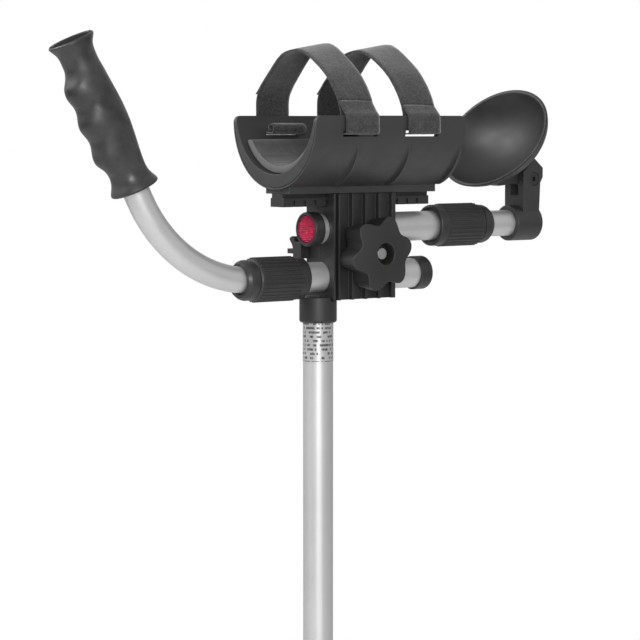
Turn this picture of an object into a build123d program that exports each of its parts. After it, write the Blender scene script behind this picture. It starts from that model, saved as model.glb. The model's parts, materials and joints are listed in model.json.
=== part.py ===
from build123d import *
from math import cos, radians, sin, sqrt
import os

# A forearm-platform crutch. The origin is the centre of the ferrule's floor face, on the upright's
# axis. +Z is up, +X points back towards the user's elbow, and -Y is the outer side, with the knob.

# Driving dimensions, in millimetres.
RIM_Z = 1010.0  # top edge of the forearm trough above the floor
TUBE_RADIUS = 11.0  # the upright and both outer cross tubes
LEG_RADIUS = 9.5
UPRIGHT_BORE = 9.6
CROSS_BORE = 10.0  # bore of both outer cross tubes
HANDLE_TUBE_RADIUS = 9.5
ELBOW_TUBE_RADIUS = 9.9
INNER_WALL = 1.3  # wall of the leg, the handle tube and the elbow tube
RUNNING_GAP = 0.05  # radial clearance of everything that slides or turns on a shaft

# Levels, measured down from the trough's rim.
REAR_TUBE_Z = RIM_Z - 82.0  # axis of the upper cross tube, which carries the elbow cup
FRONT_TUBE_Z = RIM_Z - 117.0  # axis of the lower cross tube, which carries the handle
CLAMP_TOP = RIM_Z - 56.3
CLAMP_BOTTOM = RIM_Z - 133.5
COLLAR_TOP = RIM_Z - 131.5
COLLAR_BOTTOM = RIM_Z - 150.0
COLLAR_SCREW_Z = (COLLAR_TOP + COLLAR_BOTTOM) / 2
COLLAR_SCREW_RADIUS = 1.4
COLLAR_SCREW_SEAT = 12.8  # distance from the upright's axis to the seat of the screw's head

# Clamp block.
CLAMP_FRONT = 2.0
CLAMP_REAR = 59.0
CLAMP_HALF_WIDTH = 16.5
SPLIT_GAP = 0.25  # each half stops this far from the split plane
BOLT_X = 30.5
BOLT_Z = (REAR_TUBE_Z + FRONT_TUBE_Z) / 2
BOLT_RADIUS = 5.0
KNOB_BACK = 18.2  # distance of the knob's back face from the split plane
KNOB_HUB = 41.5  # distance of the domed front's centre
KNOB_TIP = 36.5  # distance of the lobes' tips

# Forearm trough.
TROUGH_FRONT = -39.5
TROUGH_REAR = 98.0
TROUGH_RADIUS = 50.0
TROUGH_AXIS_DROP = 3.0  # the outer half circle's centre lies this far below the rim
TROUGH_BORE = 47.3
TROUGH_BORE_RISE = 5.3  # the inner circle's centre lies this far above the rim
TROUGH_MIDDLE = (TROUGH_FRONT + TROUGH_REAR) / 2
SLOT_OFFSET = 28.3
SLOT_DROP = 12.8
SLOT_HEIGHT = 4.2
FAR_SLOT_HEIGHT = 2.4  # the inner wall's slots, which the strap fills
SLOT_WIDTH = 31.5
PAD_DROP = 19.2  # the foam liner's top edges below the rim
STRAP_WIDTH = 30.0
STRAP_THICKNESS = 2.0
STRAP_ROD_RADIUS = 2.3
STRAP_ROD_Y = 38.5
RAIL_TOP = 56.0
RAIL_BOTTOM = 65.4
RAIL_FOOT = 59.0
RAIL_HALF_WIDTH = 7.8
RAIL_NECK = 6.2
RAIL_PITCH = 9.5

# Twist-lock sleeves, the same on both cross tubes.
NUT_LENGTH = 45.0
NUT_RADIUS = 15.5
NOSE_RADIUS = 14.6
SLEEVE_LENGTH = 54.5
TUBE_END_IN_SLEEVE = 19.5
FRONT_SLEEVE_X = -16.5  # the front sleeve's end at the clamp; it grows towards -X
REAR_SLEEVE_X = 105.0  # the rear sleeve's end at the clamp; it grows towards +X

# End caps of the cross tubes.
CAP_RADIUS = 12.5
REFLECTOR_CAP_FRONT = -11.4
REFLECTOR_CAP_LENGTH = 8.8
TAIL_CAP_REAR = 100.0
TAIL_CAP_LENGTH = 12.0
LENS_RADIUS = 10.2

# Handle.
HANDLE_CORNER_X = -124.6  # where the straight and the sloping axis would cross
HANDLE_ANGLE = 65.9  # slope of the grip's axis, in degrees above level
HANDLE_LEAN = 5.0  # the handle is turned inwards by this much about the lower cross tube
HANDLE_BEND_RADIUS = 100.0
GRIP_START = 72.8  # along the sloping axis from the corner
GRIP_LENGTH = 112.4
GRIP_RADIUS = 15.6
GRIP_FLANGE = 18.2

# Elbow cup and its bracket.
BRACKET_FRONT = 183.0
BRACKET_REAR = 209.5
BRACKET_RADIUS = 13.75
CUP_PIVOT_X = 201.4
CUP_PIVOT_Z = RIM_Z - 48.3
CUP_X = 169.4
CUP_Z = RIM_Z - 16.8
CUP_TILT = 59.0  # the rim plane's slope, in degrees above level
CUP_HALF_WIDTH = 55.3
CUP_HALF_HEIGHT = 43.0
CUP_DEPTH = 23.0
CUP_SHELL = 1.4
EAR_OUTER = 10.8
EAR_INNER = 4.5

# Upright, leg and height lock.
UPRIGHT_BOTTOM = 330.0
LEG_TOP = 535.0
LEG_BOTTOM = 8.5
BUTTON_Z = 475.0
HOLE_PITCH = 25.0
HOLE_COUNT_BELOW = 5
HOLE_COUNT_ABOVE = 5
BUTTON_RADIUS = 3.9
BUTTON_BACK = -5.2  # the button's inner face
HOLE_RADIUS = 4.05
LABEL_TOP = COLLAR_BOTTOM - 0.2
LABEL_BOTTOM = RIM_Z - 178.0

BASE = (Align.CENTER, Align.CENTER, Align.MIN)
CORNER = (Align.MIN, Align.MIN, Align.MIN)


def block(low, high):
    """A box between two opposite corners."""
    size = [b - a for a, b in zip(low, high)]
    return Pos(*low) * Box(*size, align=CORNER)


def rod_x(radius, start, end, y, z):
    return Pos(start, y, z) * Rot(0, 90, 0) * Cylinder(radius, end - start, align=BASE)


def rod_y(radius, start, end, x, z):
    return Pos(x, start, z) * Rot(-90, 0, 0) * Cylinder(radius, end - start, align=BASE)


def rod_z(radius, start, end, x=0.0, y=0.0):
    return Pos(x, y, start) * Cylinder(radius, end - start, align=BASE)


def pipe_x(outer, inner, start, end, z):
    return rod_x(outer, start, end, 0, z) - rod_x(inner, start - 1, end + 1, 0, z)


def turned(points):
    """A solid of revolution about Z from (radius, height) points."""
    outline = make_face(Polyline(*[(r, 0, z) for r, z in points], close=True))
    return revolve(outline, Axis.Z)


def prism_y(points, start, end):
    """A prism along Y from (x, z) points."""
    outline = make_face(Polyline(*[(x, start, z) for x, z in points], close=True))
    return extrude(outline, end - start, dir=(0, 1, 0))


def prism_x(points, start, end):
    """A prism along X from (y, z) points."""
    outline = make_face(Polyline(*[(start, y, z) for y, z in points], close=True))
    return extrude(outline, end - start, dir=(1, 0, 0))


def outwards(sign, start):
    """Puts a piece made along +Z at X = start, pointing towards +X or -X."""
    return Pos(start, 0, 0) * Rot(0, 90 * sign, 0)


# Upright, leg and ferrule.


def hole_column(radius, depth):
    column = []
    for step in range(-HOLE_COUNT_BELOW, HOLE_COUNT_ABOVE + 1):
        column.append(rod_y(radius, -depth, 0, 0, BUTTON_Z + step * HOLE_PITCH))
    return column


def upper_tube():
    tube = rod_z(TUBE_RADIUS, UPRIGHT_BOTTOM, COLLAR_TOP - 3)
    tube -= rod_z(UPRIGHT_BORE, UPRIGHT_BOTTOM - 1, COLLAR_TOP)
    tube -= rod_y(COLLAR_SCREW_RADIUS, 0, 20, 0, COLLAR_SCREW_Z)
    return tube - hole_column(HOLE_RADIUS, 15)


def upper_tube_bush():
    """Guide collar pressed over the upright's lower end, which the leg runs in."""
    lip = 10.0
    height = 30.0
    radius = 13.2
    profile = [
        (LEG_RADIUS + RUNNING_GAP, UPRIGHT_BOTTOM - lip),
        (radius - 1.5, UPRIGHT_BOTTOM - lip),
        (radius, UPRIGHT_BOTTOM - lip + 1.5),
        (radius, UPRIGHT_BOTTOM + height - lip - 1.5),
        (radius - 1, UPRIGHT_BOTTOM + height - lip),
        (TUBE_RADIUS, UPRIGHT_BOTTOM + height - lip),
        (TUBE_RADIUS, UPRIGHT_BOTTOM),
        (LEG_RADIUS + RUNNING_GAP, UPRIGHT_BOTTOM),
    ]
    # The lowest height hole reaches into the collar, which has a notch for the button there.
    lowest_hole = BUTTON_Z - HOLE_COUNT_BELOW * HOLE_PITCH
    return turned(profile) - rod_y(HOLE_RADIUS + 0.3, -15, -5, 0, lowest_hole)


def lower_tube():
    leg = rod_z(LEG_RADIUS, LEG_BOTTOM, LEG_TOP)
    leg -= rod_z(LEG_RADIUS - INNER_WALL, LEG_BOTTOM - 1, LEG_TOP + 1)
    return leg - rod_y(BUTTON_RADIUS + RUNNING_GAP, -15, 0, 0, BUTTON_Z)


def snap_button():
    """Domed button with a flange that keeps it inside the leg."""
    crown = 13.4
    shaft = rod_y(BUTTON_RADIUS, -crown, BUTTON_BACK - 1, 0, BUTTON_Z)
    shaft = fillet(shaft.edges().filter_by(GeomType.CIRCLE).sort_by(Axis.Y)[0], 1.6)
    flange = rod_y(BUTTON_RADIUS + 1.1, BUTTON_BACK - 1, BUTTON_BACK, 0, BUTTON_Z)
    return shaft + flange


def button_spring():
    """V-shaped leaf spring, from the button's flange down round a bend to the leg's far wall."""
    leaf = 0.6
    outline = [
        (BUTTON_BACK, BUTTON_Z + 4),
        (BUTTON_BACK + leaf, BUTTON_Z + 4),
        (BUTTON_BACK + leaf, BUTTON_Z - 4),
        (0, BUTTON_Z - 42 + 2),
        (7.2 - leaf, BUTTON_Z + 6),
        (7.2, BUTTON_Z + 6),
        (leaf, BUTTON_Z - 42),
        (-leaf, BUTTON_Z - 42),
        (BUTTON_BACK, BUTTON_Z - 4),
    ]
    return prism_x(outline, -2.5, 2.5)


def ferrule():
    """Flared rubber tip with a ringed neck and a grooved floor face."""
    base = 21.0
    neck = 13.4
    profile = [
        (0, 0),
        (7, 0),
        (7, 1.5),
        (9, 1.5),
        (9, 0),
        (13, 0),
        (13, 1.5),
        (15, 1.5),
        (15, 0),
        (base - 1, 0),
        (base, 1),
        (base, 7),
        (base - 5, 15),
        (neck, 21),
        (neck, 26),
        (neck + 1.2, 27),
        (neck + 1.2, 29.5),
        (neck, 30.5),
        (neck, 34),
        (neck + 1.2, 35),
        (neck + 1.2, 37.5),
        (neck, 38.5),
        (neck, 46),
        (neck - 1, 48),
        (LEG_RADIUS, 48),
        (LEG_RADIUS, LEG_BOTTOM - 1.5),
        (0, LEG_BOTTOM - 1.5),
    ]
    return turned(profile)


def ferrule_washer():
    washer = rod_z(LEG_RADIUS - 0.1, LEG_BOTTOM - 1.5, LEG_BOTTOM)
    return washer - rod_z(3, 0, LEG_BOTTOM + 1)


def label_sleeve():
    """Printed foil wrapped round the upright, with a gap where its ends meet at the back."""
    foil = rod_z(TUBE_RADIUS + 0.15, LABEL_BOTTOM, LABEL_TOP)
    foil -= rod_z(TUBE_RADIUS, LABEL_BOTTOM - 1, LABEL_TOP + 1)
    return foil - block((5, -0.6, LABEL_BOTTOM - 1), (13, 0.6, LABEL_TOP + 1))


# Clamp.


def clamp_bores():
    """What both clamp halves are cut with: two tube bores, the bolt hole and the rail's groove."""
    rail_gap = 0.2
    middle = RIM_Z - RAIL_FOOT
    return [
        rod_x(TUBE_RADIUS + RUNNING_GAP, -40, 80, 0, REAR_TUBE_Z),
        rod_x(TUBE_RADIUS + RUNNING_GAP, -40, 80, 0, FRONT_TUBE_Z),
        rod_y(BOLT_RADIUS + 0.2, -40, 40, BOLT_X, BOLT_Z),
        block(
            (0, -RAIL_NECK - rail_gap, middle - 1),
            (80, RAIL_NECK + rail_gap, RIM_Z),
        ),
        block(
            (0, -RAIL_HALF_WIDTH - rail_gap, RIM_Z - RAIL_BOTTOM - rail_gap),
            (80, RAIL_HALF_WIDTH + rail_gap, middle + rail_gap),
        ),
    ]


def side_channels(depth, rib_edges):
    """Open vertical channels in a half's outer face, between thin upright ribs."""
    channels = []
    for start, end in rib_edges:
        low = (start, -CLAMP_HALF_WIDTH - 1, CLAMP_BOTTOM - 1)
        high = (end, -CLAMP_HALF_WIDTH + depth, CLAMP_TOP + 1)
        channels.append(block(low, high))
    return channels


def channel_edges():
    """X ranges of the channels: a narrow one in front, then four equal ones."""
    rib = 1.7
    first = CLAMP_FRONT + rib
    edges = [(first, first + 2.8)]
    start = first + 2.8 + rib
    width = (CLAMP_REAR - 2 * rib - start - 3 * rib) / 4
    for number in range(4):
        low = start + number * (width + rib)
        edges.append((low, low + width))
    return edges


def clamp_outer_half():
    """The removable half, with deep ribs and a boss that the knob bears on."""
    half = block(
        (CLAMP_FRONT, -CLAMP_HALF_WIDTH, CLAMP_BOTTOM),
        (CLAMP_REAR, -SPLIT_GAP, CLAMP_TOP),
    )
    half -= side_channels(4.2, channel_edges())
    half += rod_y(12, -CLAMP_HALF_WIDTH, -CLAMP_HALF_WIDTH + 4.3, BOLT_X, BOLT_Z)
    half -= clamp_bores()
    latch = block(
        (CLAMP_FRONT - 0.9, -CLAMP_HALF_WIDTH - 0.9, BOLT_Z - 1.6),
        (CLAMP_FRONT + 1.2, -CLAMP_HALF_WIDTH + 2.5, BOLT_Z + 2.6),
    )
    return half + latch


def clamp_inner_half():
    """The fixed half, moulded in one with the collar and spigot that carry the upright."""
    half = block(
        (CLAMP_FRONT, SPLIT_GAP, CLAMP_BOTTOM - 0.6),
        (CLAMP_REAR, CLAMP_HALF_WIDTH, CLAMP_TOP),
    )
    mirrored = [channel.mirror(Plane.XZ) for channel in side_channels(3.4, channel_edges())]
    half -= mirrored
    half += rod_y(14, CLAMP_HALF_WIDTH - 4, CLAMP_HALF_WIDTH + 3.5, BOLT_X, BOLT_Z)
    collar = rod_z(13.7, COLLAR_BOTTOM, COLLAR_TOP)
    collar = fillet(collar.edges().filter_by(GeomType.CIRCLE).sort_by(Axis.Z)[0], 2.0)
    collar -= block((1.5, -20, CLAMP_BOTTOM - 0.6), (20, SPLIT_GAP, COLLAR_TOP + 1))
    half += collar
    half -= rod_z(TUBE_RADIUS, COLLAR_BOTTOM - 1, COLLAR_TOP - 3)
    half += rod_z(UPRIGHT_BORE, COLLAR_BOTTOM - 45, COLLAR_TOP - 3)
    half -= rod_z(6.5, COLLAR_BOTTOM - 46, COLLAR_BOTTOM)
    half -= clamp_bores()
    half -= hex_prism(17.2, CLAMP_HALF_WIDTH - 2.5, CLAMP_HALF_WIDTH + 5)
    half -= rod_y(3.2, COLLAR_SCREW_SEAT, 20, 0, COLLAR_SCREW_Z)
    return half - rod_y(COLLAR_SCREW_RADIUS, 6.5, 20, 0, COLLAR_SCREW_Z)


def hex_prism(across_flats, start, end):
    """A hexagonal prism along Y on the clamp bolt's axis."""
    outline = RegularPolygon(across_flats / 2, 6, major_radius=False)
    return Pos(BOLT_X, start, BOLT_Z) * Rot(-90, 0, 0) * extrude(outline, end - start)


def clamp_bolt():
    """M10 hexagon bolt, its head held in the inner half and its threaded end inside the knob."""
    head_start = CLAMP_HALF_WIDTH - 2.5
    tip = -36.5
    bolt = hex_prism(17, head_start, head_start + 6.4)
    shank = rod_y(BOLT_RADIUS, tip, head_start, BOLT_X, BOLT_Z)
    shank = chamfer(shank.edges().filter_by(GeomType.CIRCLE).sort_by(Axis.Y)[0], 1.0)
    bolt += shank
    pitch = 1.5
    groove = 0.55
    for turn in range(11):
        start = tip + 1.4 + turn * pitch
        ring = rod_y(BOLT_RADIUS + 1, start, start + 0.6, BOLT_X, BOLT_Z)
        ring -= rod_y(BOLT_RADIUS - groove, start - 1, start + 2, BOLT_X, BOLT_Z)
        bolt -= ring
    return bolt


def clamp_washer():
    washer = rod_y(10.5, -KNOB_BACK + 0.1, -CLAMP_HALF_WIDTH, BOLT_X, BOLT_Z)
    return washer - rod_y(BOLT_RADIUS + 0.3, -30, 0, BOLT_X, BOLT_Z)


def star(radius, y):
    """A six-lobed closed outline at one distance from the split plane."""
    lobes = 6
    wave = 0.13
    first_lobe = radians(13)
    points = []
    for step in range(48):
        angle = radians(step * 7.5)
        reach = radius * (1 - wave + wave * cos(lobes * (angle - first_lobe)))
        points.append((BOLT_X + reach * cos(angle), y, BOLT_Z + reach * sin(angle)))
    return make_face(Spline(*points, periodic=True))


def clamp_knob():
    """Star knob with a domed front, a tapering skirt and a recess for the bolt's end."""
    front = star(28.6, -KNOB_HUB - 1)
    back = star(25.2, -KNOB_BACK)
    body = loft([back, front])
    dome_radius = (28.6**2 + (KNOB_HUB - KNOB_TIP) ** 2) / (2 * (KNOB_HUB - KNOB_TIP))
    body &= Pos(BOLT_X, dome_radius - KNOB_HUB, BOLT_Z) * Sphere(dome_radius)
    body -= rod_y(8.0, -50, -KNOB_HUB + 13, BOLT_X, BOLT_Z)
    body -= knob_insert_shape()
    return body - rod_y(BOLT_RADIUS + 0.6, -50, 0, BOLT_X, BOLT_Z)


def knob_insert_shape():
    return hex_prism(16, -KNOB_HUB + 13, -KNOB_BACK)


def knob_insert():
    """Brass threaded insert moulded into the knob."""
    return knob_insert_shape() - rod_y(BOLT_RADIUS + RUNNING_GAP, -50, 0, BOLT_X, BOLT_Z)


def collar_screw():
    """Self-tapping screw on the inner side, through the collar and the upright into the spigot."""
    shank = rod_y(COLLAR_SCREW_RADIUS, 7, COLLAR_SCREW_SEAT, 0, COLLAR_SCREW_Z)
    head = rod_y(3, COLLAR_SCREW_SEAT, COLLAR_SCREW_SEAT + 2, 0, COLLAR_SCREW_Z)
    return shank + fillet(head.edges().filter_by(GeomType.CIRCLE).sort_by(Axis.Y)[-1], 0.8)


def side_clip():
    """Small moulded hook on the clamp's front, for hanging the crutch by a loop."""
    z = BOLT_Z
    root = 13.0
    shoulder = 22.4
    outer = [
        (root, z + 7.5),
        (shoulder - 2, z + 7.5),
        (shoulder - 1, z + 9.5),
        (shoulder + 1.5, z + 11.5),
        (shoulder + 4, z + 10.4),
        (shoulder + 4.2, z + 9.0),
        (shoulder + 1.5, z + 5.8),
        (shoulder, z + 2.4),
        (shoulder + 6.8, z + 2.4),
        (shoulder + 6.8, z - 1.2),
        (shoulder, z - 1.2),
        (shoulder, z - 4.5),
        (root, z - 4.5),
    ]
    return prism_x(outer, CLAMP_FRONT - 8, CLAMP_FRONT)


# Cross tubes and twist locks.


def front_outer_tube():
    end = FRONT_SLEEVE_X - TUBE_END_IN_SLEEVE
    return pipe_x(TUBE_RADIUS, CROSS_BORE, end, TAIL_CAP_REAR - 4, FRONT_TUBE_Z)


def rear_outer_tube():
    end = REAR_SLEEVE_X + TUBE_END_IN_SLEEVE
    return pipe_x(TUBE_RADIUS, CROSS_BORE, REFLECTOR_CAP_FRONT + 5.5, end, REAR_TUBE_Z)


def sleeve_nut():
    """Ribbed twist-lock nut along +Z from its clamp end, with a smooth band at that end."""
    wall_start = TUBE_END_IN_SLEEVE + 0.5
    collet_clearance = 12.8
    body = Cylinder(NUT_RADIUS, NUT_LENGTH, align=BASE)
    ends = body.edges().filter_by(GeomType.CIRCLE).sort_by(Axis.Z)
    body = fillet(ends[0], 1.6)
    body = fillet(body.edges().filter_by(GeomType.CIRCLE).sort_by(Axis.Z)[-1], 2.4)
    ribs = 32
    rib_radius = 0.75
    smooth_band = 8.5
    plain_end = 2.6
    for number in range(ribs):
        rib = Pos(NUT_RADIUS, 0, smooth_band) * Cylinder(
            rib_radius, NUT_LENGTH - smooth_band - plain_end, align=BASE
        )
        body += Rot(0, 0, number * 360 / ribs) * rib
    body -= Cylinder(TUBE_RADIUS + RUNNING_GAP, 3 * NUT_LENGTH)
    body -= Cylinder(13.2, 2.5, align=BASE)
    return body - Pos(0, 0, wall_start) * Cylinder(collet_clearance, NUT_LENGTH, align=BASE)


def collet(tube_radius):
    """Split collet along +Z, from its fingers inside the nut to the smooth nose outside it."""
    start = TUBE_END_IN_SLEEVE + 0.8
    shoulder = NUT_LENGTH + 0.3
    bore = tube_radius + RUNNING_GAP
    flare = bore + 0.75
    profile = [
        (bore, start),
        (11.6, start),
        (12.6, start + 3),
        (12.6, shoulder),
        (NOSE_RADIUS, shoulder),
        (NOSE_RADIUS, SLEEVE_LENGTH - 4.2),
        (NOSE_RADIUS - 0.6, SLEEVE_LENGTH - 2.2),
        (NOSE_RADIUS - 2.2, SLEEVE_LENGTH),
        (flare, SLEEVE_LENGTH),
        (bore, SLEEVE_LENGTH - 11),
    ]
    body = turned(profile)
    slot_depth = shoulder - start - 3
    for angle in (0, 90):
        slot = Pos(0, 0, start + slot_depth / 2) * Box(40, 1.6, slot_depth)
        body -= Rot(0, 0, angle + 45) * slot
    return body


def in_place(piece, sign, start, z):
    return Pos(0, 0, z) * outwards(sign, start) * piece


def reflector_cap():
    front = REFLECTOR_CAP_FRONT
    rear = front + REFLECTOR_CAP_LENGTH
    cap = rod_x(CAP_RADIUS, front, rear, 0, REAR_TUBE_Z)
    cap = fillet(cap.edges().filter_by(GeomType.CIRCLE).sort_by(Axis.X)[0], 1.2)
    cap -= rod_x(TUBE_RADIUS, front + 5.5, rear + 1, 0, REAR_TUBE_Z)
    return cap - rod_x(LENS_RADIUS + 0.05, front - 1, front + 2.8, 0, REAR_TUBE_Z)


def reflector_lens():
    front = REFLECTOR_CAP_FRONT
    lens = rod_x(LENS_RADIUS, front + 0.3, front + 2.8, 0, REAR_TUBE_Z)
    return fillet(lens.edges().filter_by(GeomType.CIRCLE).sort_by(Axis.X)[0], 0.6)


def tail_cap():
    start = TAIL_CAP_REAR - TAIL_CAP_LENGTH
    cap = rod_x(CAP_RADIUS, start, TAIL_CAP_REAR, 0, FRONT_TUBE_Z)
    cap = fillet(cap.edges().filter_by(GeomType.CIRCLE).sort_by(Axis.X)[-1], 3.0)
    return cap - rod_x(TUBE_RADIUS, start - 1, TAIL_CAP_REAR - 4, 0, FRONT_TUBE_Z)


def guide_bush(tube_radius, sign, end, z):
    """Plug in a cross tube's inner end: a flange that runs in the outer tube, and a spigot."""
    flange = 6.0
    spigot = 12.0
    bush = Cylinder(CROSS_BORE - RUNNING_GAP, flange, align=BASE)
    bush += Cylinder(tube_radius - INNER_WALL - RUNNING_GAP, flange + spigot, align=BASE)
    bush -= Cylinder(5, 3 * (flange + spigot))
    return in_place(bush, sign, end - sign * flange, z)


# Handle.

HANDLE_INNER_END = 60.0
GRIP_AXIS = (-cos(radians(HANDLE_ANGLE)), 0, sin(radians(HANDLE_ANGLE)))


def handle_frame():
    """Local X runs along the lower cross tube, and local Z leans inwards with the handle."""
    return Pos(0, 0, FRONT_TUBE_Z) * Rot(-HANDLE_LEAN, 0, 0)


def grip_frame(along):
    """A location on the grip's axis, with local +Z up the grip and local -X towards the front."""
    x = HANDLE_CORNER_X + along * GRIP_AXIS[0]
    z = along * GRIP_AXIS[2]
    return handle_frame() * Pos(x, 0, z) * Rot(0, HANDLE_ANGLE - 90, 0)


def handle_tube():
    """Bent tube: straight inside the front outer tube, one long bend, then up into the grip."""
    top = GRIP_START + GRIP_LENGTH - 6
    end = (
        HANDLE_CORNER_X + top * GRIP_AXIS[0],
        0,
        top * GRIP_AXIS[2],
    )
    start = (HANDLE_INNER_END, 0, 0)
    corner = (HANDLE_CORNER_X, 0, 0)
    path = FilletPolyline(start, corner, end, radius=HANDLE_BEND_RADIUS)
    section = Plane(start, x_dir=(0, 1, 0), z_dir=(-1, 0, 0))
    outer = sweep(section * Circle(HANDLE_TUBE_RADIUS), path=path)
    inner = sweep(section * Circle(HANDLE_TUBE_RADIUS - INNER_WALL), path=path)
    return handle_frame() * (outer - inner)


def hand_grip():
    """Moulded grip with flanged ends and three knuckles between the fingers on its front side."""
    neck = GRIP_RADIUS - 2.0
    flange = GRIP_FLANGE - 0.8
    profile = [
        (0, 0),
        (flange - 1.5, 0),
        (flange, 1.5),
        (flange, 4),
        (neck, 14),
        (GRIP_RADIUS, GRIP_LENGTH / 2 - 4),
        (neck - 0.8, GRIP_LENGTH - 12),
        (flange, GRIP_LENGTH - 4),
        (flange, GRIP_LENGTH - 1.5),
        (flange - 1.5, GRIP_LENGTH),
        (0, GRIP_LENGTH),
    ]
    grip = turned(profile)
    knuckles = 3
    knuckle_pitch = 24
    for number in range(knuckles):
        height = 30 + number * knuckle_pitch
        knuckle = Pos(-5.0, 0, height) * Sphere(14.6)
        grip += knuckle
    grip -= Cylinder(HANDLE_TUBE_RADIUS, GRIP_LENGTH - 6, align=BASE)
    return grip_frame(GRIP_START) * grip


# Elbow tube, bracket and cup.


def elbow_tube():
    inner = ELBOW_TUBE_RADIUS - INNER_WALL
    return pipe_x(ELBOW_TUBE_RADIUS, inner, 40, BRACKET_REAR - 3, REAR_TUBE_Z)


def elbow_bracket():
    """Socket on the elbow tube's end with a stem and two ears for the cup's pivot."""
    barrel = rod_x(BRACKET_RADIUS, BRACKET_FRONT, BRACKET_REAR, 0, REAR_TUBE_Z)
    barrel = fillet(barrel.edges().filter_by(GeomType.CIRCLE).sort_by(Axis.X)[-1], 3.0)
    barrel = fillet(barrel.edges().filter_by(GeomType.CIRCLE).sort_by(Axis.X)[0], 1.0)
    pivot = CUP_PIVOT_Z
    ears = [
        (190.5, REAR_TUBE_Z),
        (190.5, pivot + 6),
        (202.0, pivot + 15.5),
        (210.2, pivot + 8.5),
        (210.2, pivot + 1.5),
        (207.7, pivot - 3.0),
        (206.2, REAR_TUBE_Z),
    ]
    bracket = barrel + prism_y(ears, -EAR_OUTER, EAR_OUTER)
    slot_floor = pivot - 12.5
    bracket -= block((170, -EAR_INNER, slot_floor), (230, EAR_INNER, RIM_Z))
    bracket -= rod_x(ELBOW_TUBE_RADIUS, 170, BRACKET_REAR - 3, 0, REAR_TUBE_Z)
    bracket -= rod_y(3 + RUNNING_GAP, -30, 30, CUP_PIVOT_X, pivot)
    bracket -= rod_y(5.4, -30, -EAR_OUTER + 2.6, CUP_PIVOT_X, pivot)
    return bracket - rod_y(5.4, EAR_OUTER - 2.6, 30, CUP_PIVOT_X, pivot)


def cup_pivot_bolt():
    bolt = rod_y(3, -EAR_OUTER + 2.6, EAR_OUTER - 2.6, CUP_PIVOT_X, CUP_PIVOT_Z)
    bolt += rod_y(5.2, -EAR_OUTER + 0.4, -EAR_OUTER + 2.6, CUP_PIVOT_X, CUP_PIVOT_Z)
    return bolt - rod_y(1.8, -EAR_OUTER, -EAR_OUTER + 3.4, CUP_PIVOT_X, CUP_PIVOT_Z)


def cup_pivot_nut():
    nut = rod_y(5.2, EAR_OUTER - 2.6, EAR_OUTER - 0.4, CUP_PIVOT_X, CUP_PIVOT_Z)
    return nut - rod_y(1.8, EAR_OUTER - 1.8, EAR_OUTER, CUP_PIVOT_X, CUP_PIVOT_Z)


def cup_frame():
    """Local +Z looks out of the cup, local +X runs up its rim plane towards the back."""
    return Pos(CUP_X, 0, CUP_Z) * Rot(0, -CUP_TILT, 0)


def bowl(thinner):
    """The cup's ellipsoid, its centre above the rim plane so that the rim still flares."""
    rise = 12.0
    reach = CUP_DEPTH + rise
    spread = 1 / sqrt(1 - (rise / reach) ** 2)
    sizes = (
        CUP_HALF_HEIGHT * spread - thinner,
        CUP_HALF_WIDTH * spread - thinner,
        reach - thinner,
    )
    return Pos(0, 0, rise) * scale(Sphere(1), by=sizes)


def below_rim():
    return Pos(0, 0, -50) * Box(200, 200, 100)


def elbow_cup_shell():
    """Oval hard dish with a lug at the back that tilts between the bracket's ears."""
    outer = cup_frame() * (bowl(0) & below_rim())
    inner = cup_frame() * bowl(CUP_SHELL)
    lug = rod_y(8.6, -EAR_INNER + 0.3, EAR_INNER - 0.3, CUP_PIVOT_X, CUP_PIVOT_Z)
    web = prism_y(
        [
            (CUP_PIVOT_X - 8, CUP_PIVOT_Z - 3),
            (CUP_PIVOT_X + 4.5, CUP_PIVOT_Z + 7.2),
            (CUP_PIVOT_X - 6.5, CUP_PIVOT_Z + 34),
            (CUP_PIVOT_X - 36, CUP_PIVOT_Z - 2),
            (CUP_PIVOT_X - 30, CUP_PIVOT_Z - 5),
        ],
        -EAR_INNER + 0.3,
        EAR_INNER - 0.3,
    )
    shell = (outer + lug + web) - inner
    shell &= cup_frame() * below_rim()
    return shell - rod_y(3 + RUNNING_GAP, -30, 30, CUP_PIVOT_X, CUP_PIVOT_Z)


def elbow_cup_liner():
    outer = bowl(CUP_SHELL + 0.2) & below_rim()
    return cup_frame() * (outer - bowl(CUP_SHELL + 1.4))


# Forearm trough, pad and straps.


def arc_face(outer, outer_z, inner, inner_z, x):
    """The half-pipe's section below the rim, between an outer and an inner circle."""
    outline = Plane(origin=(x, 0, 0), x_dir=(0, 1, 0), z_dir=(1, 0, 0))
    disc = Pos(0, outer_z) * Circle(outer)
    disc += Pos(0, (outer_z + RIM_Z) / 2) * Rectangle(2 * outer, RIM_Z - outer_z)
    disc -= Pos(0, inner_z) * Circle(inner)
    disc &= Pos(0, RIM_Z - 100) * Rectangle(300, 200)
    return outline * disc


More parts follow.
